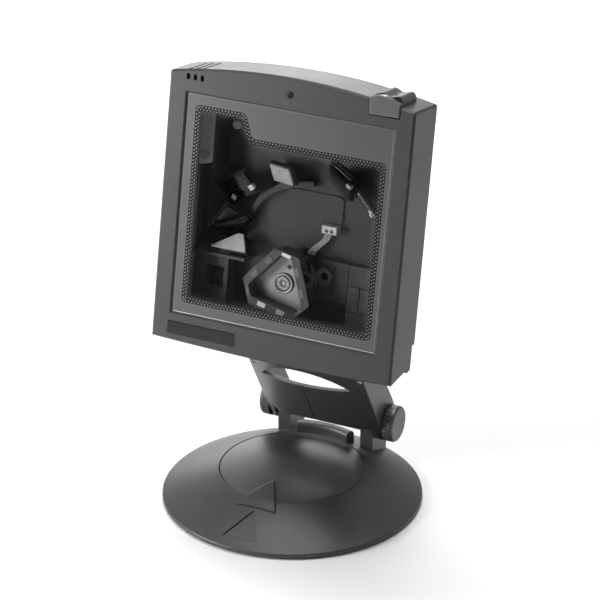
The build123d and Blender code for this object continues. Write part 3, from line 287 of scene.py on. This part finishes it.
def laminate(name, shade=1.0):
    """Solder-masked circuit board with traces and pads as a fine rectilinear pattern."""
    g = material_graph(name)
    normal, edges = g.rounded(0.2 * MM)
    traces = g.node("TexBrick", offset=0.5, sockets={
        "Vector": g.coords, "Color1": scaled((0.015, 0.12, 0.055), shade),
        "Color2": scaled((0.02, 0.15, 0.07), shade), "Mortar": scaled((0.04, 0.24, 0.11), shade),
        "Scale": 260.0, "Mortar Size": 0.035, "Row Height": 0.5})
    pads = g.ramp(g.voronoi(420.0), 0.12, 0.09)
    tone = g.mix(pads, traces.outputs["Color"], scaled((0.65, 0.62, 0.5), shade))
    tone = g.mix(edges, tone, (0.3, 0.33, 0.18))
    height = g.calc("ADD", traces.outputs["Fac"], pads)
    return g.finish(g.principled(
        Base_Color=tone, Roughness=g.ramp(g.noise(80.0), *MIDTONES, 0.3, 0.45),
        Metallic=g.calc("MULTIPLY", pads, 0.8), Normal=g.bump(height, 0.4, 0.03 * MM, normal)))


# ---------------------------------------------------------------- materials
# Rings about an axis are (radius in millimetres, brightness) pairs from the axis outward.
HUB_REACH = 8.0
# The hub's rings are painted light: its bright middle is a painted highlight, and its dark rings are painted
# shade in its recesses and in the gap round its rim.
HUB_PAINTED_RINGS = ((0.0, 1.0), (1.1, 0.9), (1.5, 0.15), (2.1, 0.3), (2.6, 0.75), (3.7, 0.6), (4.0, 0.1),
             (4.8, 0.15), (5.1, 0.8), (5.7, 0.7), (6.0, 0.05))
LASER_REACH = 12.0
LASER_RINGS = ((0.0, 0.0), (2.7, 0.1), (2.9, 0.45), (3.4, 0.12), (4.0, 0.1), (4.3, 0.55),
               (4.75, 0.3), (4.9, 0.0))
# The clips of the mirror wheel keep a painted highlight where they lie beyond these distances along
# CLIP_SIDE and carry painted shade elsewhere, given as (where it starts, where it is full) in millimetres.
CLIP_TURN = math.radians(-102.0)
CLIP_SIDE = Vector((math.cos(CLIP_TURN), 0.0, 0.0)) + UP * math.sin(CLIP_TURN)
PAINTED_LIT_CLIPS = ((12.2, 12.6), (-16.6, -17.0))
# What several plastics share: a print has sharp edges that neither scuff nor carry a painted highlight, a
# polished mould leaves little grain.
PRINT = {"edge": 0.05, "wear_and_highlight": 0.0}
POLISHED = {"grain": 500.0, "grain_strength": 0.03, "speckle": 0.05}

MATERIALS = {
    # housing, stand and controls
    "body": moulded("body_plastic", (0.042, 0.042, 0.0426), rough=0.40, dust=0.03, specular=0.37),
    "stand": moulded("stand_plastic", (0.047, 0.047, 0.048), rough=0.40, dust=0.03, wear_and_highlight=0.30),
    "yoke": moulded("yoke_plastic", (0.041, 0.041, 0.042), rough=0.34, edge=1.2, wear_and_highlight=0.5),
    "knob": moulded("knob_plastic", (0.060, 0.061, 0.064), rough=0.36, edge=0.7),
    "button": moulded("button_plastic", (0.072, 0.072, 0.073), rough=0.48, edge=0.6),
    "indicator": moulded("indicator_plastic", (0.11, 0.112, 0.118), rough=0.28, grain_strength=0.1, coat=0.3),
    "badge": moulded("badge_plastic", (0.008, 0.008, 0.009), rough=0.22, grain_strength=0.12,
                     edge=0.2, wear_and_highlight=0.2),
    "sensor": moulded("lens_plastic", (0.014, 0.012, 0.012), rough=0.12, grain_strength=0.02,
                      coat=0.6, edge=0.3),
    "foam": rubbery("gasket_foam", grey(0.012), 0.8),
    "rubber": rubbery("foot_rubber", grey(0.018), 0.78),
    # scan window, its print and a painted glint along the pane's edge
    "glass": clear_pane("window_glass", grey(0.88)),
    "mask": moulded("mask_print", (0.090, 0.090, 0.091), rough=0.3, grain_strength=0.05,
                    specular=0.4, **PRINT),
    "ink": moulded("mask_black", grey(0.006), rough=0.5, grain_strength=0.05, specular=0.2, **PRINT),
    "dots": moulded("mask_dots", grey(0.17), rough=0.3, grain_strength=0.1, **PRINT),
    # Lit and shaded copies of one edge colour: a painted highlight along the bottom, dimmer on the right,
    # dimmest on the left and top.
    "edge_low": moulded("edge_glint_low", grey(0.50), rough=0.4, grain_strength=0.1, **PRINT),
    "edge_side": moulded("edge_glint_side", grey(0.22), rough=0.4, grain_strength=0.1, **PRINT),
    "edge_high": moulded("edge_glint_high", grey(0.14), rough=0.4, grain_strength=0.1, **PRINT),
    # optics
    "chassis": moulded("chassis_plastic", (0.078, 0.078, 0.079), rough=0.30, wear_and_highlight=0.5, **POLISHED),
    # The ledge's light grey is painted light, standing in for light that falls on the upper left wall of the
    # tray.
    "ledge": moulded("ledge_painted_light", grey(0.60), rough=0.4, edge=0.3, **POLISHED),
    "bracket": moulded("bracket_plastic", (0.022, 0.022, 0.023), rough=0.34, edge=0.3, **POLISHED),
    "mirror": mirror_glass("mirror_glass", 0.62),
    "dark_mirror": mirror_glass("mirror_dark", 0.05, 0.03),
    "hazy_mirror": mirror_glass("mirror_hazy", 0.80, 0.30, 0.1, 220.0, 0.45),
    "collector": mirror_glass("mirror_collector", 0.95, 0.42, 0.1, metallic=0.2),
    "lens": clear_pane("lens_glass", (0.55, 0.5, 0.52), 0.02, 0.02, 1.0),
    "module": moulded("module_metal", (0.075, 0.075, 0.076), rough=0.3, edge=0.4, wear_and_highlight=0.9,
                      grain_strength=0.05, rings=(LASER_AXIS, LASER_RINGS, LASER_REACH)),
    # mirror wheel and its motor
    "wheel": moulded("wheel_plastic", (0.085, 0.085, 0.086), edge=0.4, wear_and_highlight=1.0, grain_strength=0.1),
    "clip": metal("clip_steel", grey(0.90), 0.45, grime=0.1),
    # Clips of the mirror wheel with painted shade on all but the ones that look lit.
    "strip_clip": metal("strip_clip_steel_painted_shade", grey(0.90), 0.45, grime=0.1, shaded_side=CLIP_SIDE),
    "plate": metal("plate_aluminium", (0.46, 0.46, 0.465), 0.38, (1.0, 0.3, 0.3), 0.3, 0.15),
    "hub": metal("hub_metal", (0.85, 0.85, 0.86), 0.26, edge=0.3, rings=(WHEEL_AXIS, HUB_PAINTED_RINGS, HUB_REACH)),
    # The rotor cup is plated steel; its light grey matt colour is a painted reflection, standing in for the
    # light the steel reflects.
    "cup": moulded("cup_painted_reflection", (0.30, 0.30, 0.305), rough=0.3, **POLISHED),
    "ferrite": moulded("magnet_ferrite", (0.05, 0.05, 0.052), rough=0.55, edge=0.2),
    "motor": moulded("motor_metal", (0.022, 0.022, 0.024), rough=0.36, edge=0.3),
    "copper": metal("coil_copper", (0.66, 0.30, 0.16), 0.3, (0.1, 1.0, 1.0)),
    "plug": moulded("plug_plastic", (0.78, 0.78, 0.74), rough=0.35, edge=0.3, wear_and_highlight=0.0),
    "wire": moulded("wire_insulation", (0.62, 0.62, 0.61), rough=0.4, grain_strength=0.1,
                    edge=0.1, wear_and_highlight=0.0),
    # boards, fasteners, pivot and ballast
    "board": laminate("board_laminate"),
    "dark_board": laminate("board_laminate_dark", 0.2),
    "parts": moulded("component_plastic", (0.020, 0.020, 0.022), rough=0.4, edge=0.2),
    "steel": metal("screw_steel", (0.50, 0.50, 0.51), 0.28),
    "zinc": moulded("zinc_plating", grey(0.78), rough=0.3, grain=500.0, grain_strength=0.05,
                    edge=0.2, speckle=0.05),
    "brass": metal("pivot_brass", (0.72, 0.54, 0.27), 0.26),
    "nylon": moulded("washer_nylon", (0.62, 0.60, 0.55), rough=0.35, edge=0.1, wear_and_highlight=0.0),
    "ballast": metal("ballast_steel", (0.16, 0.16, 0.17), 0.5, grime=0.5),
    "floorplate": moulded("floor_metal", (0.03, 0.03, 0.032), rough=0.5, grain=900.0, edge=0.3),
}
LOOKS = {
    "body": "front_housing rear_cover",
    "stand": "base_shell base_cover_disc",
    "yoke": "yoke",
    "knob": "left_knob right_knob",
    "button": "function_button",
    "indicator": "indicator_lens",
    "badge": "name_badge",
    "sensor": "sensor_lens",
    "foam": "window_gasket",
    "rubber": "rubber_feet",
    "glass": "scan_window",
    "mask": "window_mask",
    "chassis": "optics_chassis",
    "bracket": "mirror_brackets collector_bracket",
    "mirror": "facet_mirrors fold_mirror_upper_right fold_mirror_right",
    "dark_mirror": "fold_mirror_upper_left fold_mirror_left",
    "hazy_mirror": "fold_mirror_top",
    "collector": "collector_mirror",
    "lens": "laser_lens",
    "module": "laser_module",
    "wheel": "polygon_frame",
    "strip_clip": "mirror_clips",
    "plate": "polygon_plate",
    "hub": "rotor_hub",
    "cup": "rotor_cup",
    "ferrite": "rotor_magnet",
    "motor": "motor_base",
    "copper": "motor_coils",
    "plug": "motor_plug",
    "wire": "motor_wires",
    "board": "button_board main_board",
    "dark_board": "detector_board",
    "parts": "presence_sensor button_switch beeper photodiode board_chips interface_jack",
    "steel": "base_screws left_knob_stud right_knob_stud yoke_screws yoke_clamp_screws "
             "housing_screws board_screws motor_shaft",
    "zinc": "chassis_screws",
    "brass": "pivot_bushes",
    "nylon": "friction_washers",
    "ballast": "base_weight",
    "floorplate": "base_floor_plate",
}

for look, names in LOOKS.items():
    for name in names.split():
        NODES[name].data.materials.clear()
        NODES[name].data.materials.append(MATERIALS[look])
dressed = {name for names in LOOKS.values() for name in names.split()}
assert dressed == set(NODES), sorted(dressed ^ set(NODES))


# ------------------------------------------------------------- mesh helpers
OUTLINE_STEP = 0.5
BOSS_SIDES = 32


def circle(sides, start=0.0):
    """Unit vectors spaced evenly round a circle."""
    angles = [start + k * math.tau / sides for k in range(sides)]
    return [Vector((math.cos(angle), math.sin(angle))) for angle in angles]


def rounded_outline(corners, radius):
    """Trail of (point, inward normal) pairs along a closed outline with rounded corners."""
    trail = []
    count = len(corners)
    for i, corner in enumerate(corners):
        before, here, after = Vector(corners[i - 1]), Vector(corner), Vector(corners[(i + 1) % count])
        arrive, leave = (here - before).normalized(), (after - here).normalized()
        bend = abs(arrive.angle_signed(leave))
        turn = 1.0 if arrive.cross(leave) > 0 else -1.0
        cut = radius * math.tan(bend / 2)
        inward = Vector((-arrive.y, arrive.x))
        centre = here - arrive * cut + inward * radius * turn
        start = math.atan2(-inward.y * turn, -inward.x * turn)
        hops = max(2, int(bend * radius / OUTLINE_STEP) + 1)
        for k in range(hops + 1):
            angle = start + turn * bend * k / hops
            spoke = Vector((math.cos(angle), math.sin(angle)))
            trail.append((centre + spoke * radius, spoke * -turn))
        next_bend = leave.angle(Vector(corners[(i + 2) % count]) - after)
        straight = (after - here).length - cut - radius * math.tan(next_bend / 2)
        hops = max(1, int(straight / OUTLINE_STEP))
        begin, normal = trail[-1]
        trail.extend((begin + leave * straight * k / hops, normal) for k in range(1, hops))
    return trail


def walk(trail, pitch, shift=0.0):
    """Evenly spaced stations along a closed trail; shift moves them by a share of the pitch."""
    lengths = [(trail[(i + 1) % len(trail)][0] - trail[i][0]).length for i in range(len(trail))]
    total = sum(lengths)
    count = round(total / pitch)
    travelled, index = 0.0, 0
    for k in range(count):
        mark = (k + shift) * total / count
        while travelled + lengths[index] < mark and index < len(lengths) - 1:
            travelled += lengths[index]
            index += 1
        share = (mark - travelled) / lengths[index]
        (point, normal), (next_point, next_normal) = trail[index], trail[(index + 1) % len(trail)]
        yield point.lerp(next_point, share), normal.lerp(next_normal, share).normalized()


def ring(bm, places, depth):
    """Vertices at (x, u) places of the head, all at one depth."""
    return [bm.verts.new(head_point(x, u, depth)) for x, u in places]


def bridge(bm, near, far):
    """Skin between two closed rings of vertices."""
    return [bm.faces.new((near[k - 1], near[k], far[k], far[k - 1])) for k in range(len(near))]


def stack_rings(bm, trail, levels):
    """Skin through copies of a trail, each with its own (inset, depth), closed over the last."""
    rings = [ring(bm, [point + normal * inset for point, normal in trail], depth) for inset, depth in levels]
    for near, far in zip(rings, rings[1:]):
        bridge(bm, near, far)
    bm.faces.new(rings[-1])


def mesh_object(name, bm, materials):
    mesh = bpy.data.meshes.new(name)
    bm.to_mesh(mesh)
    bm.free()
    for material in materials:
        mesh.materials.append(material)
    obj = bpy.data.objects.new(name, mesh)
    bpy.context.scene.collection.objects.link(obj)
    return obj


def head_piece(name, bm, looks):
    """Object that rides on the head; a face's material index counts along its looks."""
    obj = mesh_object(name, bm, [MATERIALS[look] for look in looks.split()])
    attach(obj, "head")


# ------------------------------------------------- print and edge of window
# The clear part of the pane reaches higher on its left. What lies around it sits just in
# front of the pane, in layers: a painted glint along the pane's edge nearest the glass, then the printed
# border, band and dots.
CLEAR_OUTLINE = [(-58, 23.1), (60.1, 23.1), (60.1, 124.8), (-21.8, 124.8), (-26.7, 138.4), (-58, 138.4)]
CLEAR_TRAIL = rounded_outline(CLEAR_OUTLINE, 3.0)
PANE_START, PANE_END = head_extent("scan_window")
PANE_EDGE = 0.42
LAYER = 0.01
BORDER_DEPTH = PANE_START[2] - 2 * LAYER
BAND_WIDTH = 3.3
BAND_SCALLOP = 0.3
BAND_OVERLAP = 0.05
STATIONS_PER_DOT = 4
DOT_PITCH = 2.06
DOT_ROWS = ((0.95, 0.45), (2.45, 0.40), (3.9, 0.33), (5.3, 0.24))
DOT_SIDES = 8
DOT_CLEARANCE = 0.6 * DOT_PITCH


def pane_corners(inset):
    left, low = PANE_START[0] + inset, PANE_START[1] + inset
    right, high = PANE_END[0] - inset, PANE_END[1] - inset
    return [(left, low), (right, low), (right, high), (left, high)]


def edge_glint():
    """Painted glint along the edge of the pane: a thin line, a painted highlight that is lightest along the
    bottom, dimmer on the right and dimmest on the left and top.
    """
    bm = bmesh.new()
    outer, inner = (ring(bm, pane_corners(inset), BORDER_DEPTH + LAYER) for inset in (0.0, PANE_EDGE))
    left, bottom, right, top = bridge(bm, outer, inner)
    bottom.material_index = 0
    right.material_index = 1
    left.material_index = top.material_index = 2
    head_piece("window_edge_glint", bm, "edge_low edge_side edge_high")


def printed_border():
    """Grey border between the ground edge and the clear part of the pane."""
    bm = bmesh.new()
    for outline in (pane_corners(PANE_EDGE), [point for point, normal in CLEAR_TRAIL]):
        verts = ring(bm, outline, BORDER_DEPTH)
        for k in range(len(verts)):
            bm.edges.new((verts[k - 1], verts[k]))
    bmesh.ops.triangle_fill(bm, use_beauty=True, edges=bm.edges)
    head_piece("window_printed_border", bm, "mask")


def printed_band():
    """Black band inside the grey border; its inner edge is scalloped between the dots."""
    outer, inner = [], []
    for k, (point, normal) in enumerate(walk(CLEAR_TRAIL, DOT_PITCH / STATIONS_PER_DOT)):
        width = BAND_WIDTH + BAND_SCALLOP * math.cos(k * math.tau / STATIONS_PER_DOT)
        outer.append(point - normal * BAND_OVERLAP)
        inner.append(point + normal * width)
    bm = bmesh.new()
    bridge(bm, *(ring(bm, places, BORDER_DEPTH - LAYER) for places in (outer, inner)))
    head_piece("window_dark_band", bm, "ink")


def printed_dots():
    """Grey halftone dots that follow the border, smaller row by row and thinned out in corners."""
    bm = bmesh.new()
    for row, (inset, radius) in enumerate(DOT_ROWS):
        placed = []
        for point, normal in walk(CLEAR_TRAIL, DOT_PITCH, 0.5 * (row % 2)):
            centre = point + normal * inset
            if any((centre - other).length < DOT_CLEARANCE for other in placed[-3:]):
                continue
            placed.append(centre)
            rim = [centre + spoke * radius for spoke in circle(DOT_SIDES, math.pi / DOT_SIDES)]
            bm.faces.new(ring(bm, rim, BORDER_DEPTH - 2 * LAYER))
    head_piece("window_halftone", bm, "dots")


# ------------------------------------------------------------ optics pieces
LEDGE_OUTLINE = [(-59.4, 101.4), (-50.7, 103.8), (-50.7, 142.8), (-59.4, 142.8)]
LEDGE_LEVELS = ((0.0, 16.0), (0.0, 13.2), (0.15, 12.8), (0.6, 12.6))
BOSS_CENTRE = Vector((-55.3, 107.3))
BOSS_RADIUS = 2.7
BOSS_LEVELS = ((0.0, 13.0), (0.0, 12.0), (0.3, 11.6), (1.1, 11.6), (1.3, 11.9), (1.5, 13.2))
# A clip's section, as (distance out from the rim of the mirror, distance off its front).
CLIP_PATH = ((-2.4, 0.75), (-1.9, 0.3), (-1.2, 0.22), (0.25, 0.25), (0.5, 0.0), (0.5, -1.7),
             (0.2, -2.0), (-2.2, -2.0))
CLIP_HALF_WIDTH = 1.5
CLIP_THICKNESS = 0.25
CLIP_DEPTH = 14.0
CLIP_PLACES = (
    ("fold_mirror_upper_left", -48.7, 81.1),
    ("fold_mirror_upper_left", -19.9, 95.5),
    ("fold_mirror_upper_right", 41.0, 101.9),
    ("fold_mirror_right", 48.0, 92.6),
)
SHORTEST_SIDE = 4.0


def tray_ledge():
    """Ledge beside the upper left wall of the tray, with a screw boss near its lower end; its light grey is
    painted light.
    """
    bm = bmesh.new()
    stack_rings(bm, rounded_outline(LEDGE_OUTLINE, 1.0), LEDGE_LEVELS)
    boss = [(BOSS_CENTRE + spoke * BOSS_RADIUS, -spoke) for spoke in circle(BOSS_SIDES)]
    stack_rings(bm, boss, BOSS_LEVELS)
    head_piece("tray_ledge", bm, "ledge")


def rim_place(node, near):
    """Point on the rim of a mirror's front nearest a place, away from its corners.

    Also gives the directions along the rim, outward from it, and off the front.
    """
    mesh = NODES[node].data
    front = max((face for face in mesh.polygons if face.normal.y < 0), key=lambda face: face.area)
    normal = front.normal.copy()
    corners = [mesh.vertices[index].co for index in front.vertices]
    choices = []
    for first, second in zip(corners, corners[1:] + corners[:1]):
        side = second - first
        if side.length >= SHORTEST_SIDE * MM:
            share = max(0.25, min(0.75, (near - first).dot(side) / side.length_squared))
            choices.append((first + side * share, side.normalized()))
    spot, along = min(choices, key=lambda choice: (choice[0] - near).length)
    outward = along.cross(normal)
    if outward.dot(spot - sum(corners, Vector()) / len(corners)) < 0:
        outward.negate()
    return spot, along, outward, normal


def spring_clip(bm, node, near):
    """Bent spring clip over the rim of a mirror, at the point nearest a place."""
    spot, along, outward, off_front = rim_place(node, near)

    def rail(side, thickness):
        """Vertices along the path, with the thickness on its outer and front sides."""
        places = [(out + thickness * (out > 0), off + thickness * (off > 0)) for out, off in CLIP_PATH]
        return [bm.verts.new(spot + (along * side + outward * out + off_front * off) * MM)
                for out, off in places]

    rails = (rail(-CLIP_HALF_WIDTH, CLIP_THICKNESS), rail(CLIP_HALF_WIDTH, CLIP_THICKNESS),
             rail(CLIP_HALF_WIDTH, 0.0), rail(-CLIP_HALF_WIDTH, 0.0))
    for here, there in zip(rails, rails[1:] + rails[:1]):
        for k in range(len(CLIP_PATH) - 1):
            bm.faces.new((here[k], here[k + 1], there[k + 1], there[k]))
    for end in (0, -1):
        bm.faces.new([verts[end] for verts in rails])


def spring_clips():
    """Clips that hold three of the fold mirrors on their posts."""
    bm = bmesh.new()
    for node, x, u in CLIP_PLACES:
        spring_clip(bm, node, head_point(x, u, CLIP_DEPTH))
    bmesh.ops.recalc_face_normals(bm, faces=bm.faces)
    head_piece("mirror_spring_clips", bm, "clip")


tray_ledge()
spring_clips()
edge_glint()
printed_border()
printed_band()
printed_dots()

# -------------------------------------------------------------------- stage
WHITE = grey(1.0)
FLOOR_HALF_WIDTH = 6.0
FLOOR_PROFILE = ((-3.0, 0.0), (2.2, 0.0), (2.8, 0.12), (3.2, 0.5), (3.35, 1.2), (3.35, 4.0))
# Each light: place, height it points at above the middle of the stand, width and height, watts.
LIGHTS = {
    "key": ((-0.02, 0.34, 2.3), 0.15, (1.2, 1.0), 28.0),
    "rear_high": ((-0.55, 0.9, 2.1), 0.15, (1.2, 1.0), 27.0),
    "left_fill": ((-0.52, -0.44, 0.28), 0.15, (0.36, 0.36), 5.3),
    "right_fill": ((2.0, 0.9, 0.6), 0.12, (1.0, 1.0), 3.0),
    "rear_left": ((-1.05, 1.7, 0.5), 0.12, (1.2, 0.5), 11.0),
    "window_fill": ((1.2, -1.6, 0.9), 0.17, (0.5, 0.5), 1.2),
}


def floor_material():
    """Pale matt floor; far from the object it looks evenly pale without lighting the object."""
    g = material_graph("stage_floor")
    tone = g.mix(g.ramp(g.noise(3.0), *MIDTONES), grey(0.84), grey(0.86))
    distance = g.node("VectorMath", g.coords, operation="LENGTH").outputs["Value"]
    seen = g.node("LightPath").outputs["Is Camera Ray"]
    glow = g.calc("MULTIPLY", g.ramp(distance, 0.3, 1.3, 0.0, 0.9), seen)
    matt = g.principled(Base_Color=tone, Roughness=0.9, Emission_Color=WHITE, Emission_Strength=glow)
    return g.finish(matt)


def backdrop():
    """Floor that curves up into a wall well behind the object."""
    bm = bmesh.new()
    left, right = ([bm.verts.new((x, y, z)) for y, z in FLOOR_PROFILE]
                   for x in (-FLOOR_HALF_WIDTH, FLOOR_HALF_WIDTH))
    for k in range(len(FLOOR_PROFILE) - 1):
        bm.faces.new((left[k], right[k], right[k + 1], left[k + 1]))
    mesh_object("stage_floor", bm, [floor_material()])


def area_light(name, place, aim_height, size, watts):
    data = bpy.data.lights.new(name, "AREA")
    data.shape = "RECTANGLE"
    data.size, data.size_y = size
    data.energy = watts
    light = bpy.data.objects.new(name, data)
    light.location = place
    aim = Vector((0.0, 0.0, aim_height)) - light.location
    light.rotation_euler = aim.to_track_quat("-Z", "Y").to_euler()
    bpy.context.scene.collection.objects.link(light)


def studio_world(front, back, overhead, seen):
    """White surround: bright behind and above the object, dim in front, evenly pale to the camera."""
    g = Graph(bpy.data.worlds.new("studio"), "World", "Generated")
    direction = g.node("SeparateXYZ", g.coords).outputs
    behind = g.ramp(direction["Y"], -0.7, 0.6, front, back)
    above = g.ramp(direction["Z"], 0.35, 0.95, 0.0, overhead)
    to_camera = g.node("LightPath").outputs["Is Camera Ray"]
    strength = g.node("Mix", to_camera, None, g.calc("ADD", behind, above), seen).outputs[0]
    bpy.context.scene.world = g.finish(g.node("Background", WHITE, strength).outputs[0])


backdrop()
for name, settings in LIGHTS.items():
    area_light(name, *settings)
studio_world(front=0.0165, back=0.15, overhead=0.085, seen=0.9)
bpy.context.scene.view_settings.view_transform = "Standard"

# ------------------------------------------------------------------- camera
AZIMUTH, ELEVATION, DISTANCE = math.radians(25.70), math.radians(26.47), 1.779
LENS, SENSOR = 186.7, 36.0
TARGET = Vector((0.0, 0.0, 0.110))
AIM_RIGHT, AIM_UP = 0.0045, 0.01484


def place_camera():
    """Camera that looks past the target by AIM_RIGHT and AIM_UP, measured in its own picture plane."""
    view = Vector((math.sin(AZIMUTH) * math.cos(ELEVATION),
                   -math.cos(AZIMUTH) * math.cos(ELEVATION), math.sin(ELEVATION)))
    right = Vector((math.cos(AZIMUTH), math.sin(AZIMUTH), 0.0))
    aim = TARGET + right * AIM_RIGHT + view.cross(right) * AIM_UP
    data = bpy.data.cameras.new("camera")
    data.lens = LENS
    data.sensor_width = SENSOR
    data.clip_end = 50.0
    camera = bpy.data.objects.new("camera", data)
    camera.location = TARGET + view * DISTANCE
    camera.rotation_euler = (aim - camera.location).to_track_quat("-Z", "Y").to_euler()
    bpy.context.scene.collection.objects.link(camera)
    bpy.context.scene.camera = camera


place_camera()
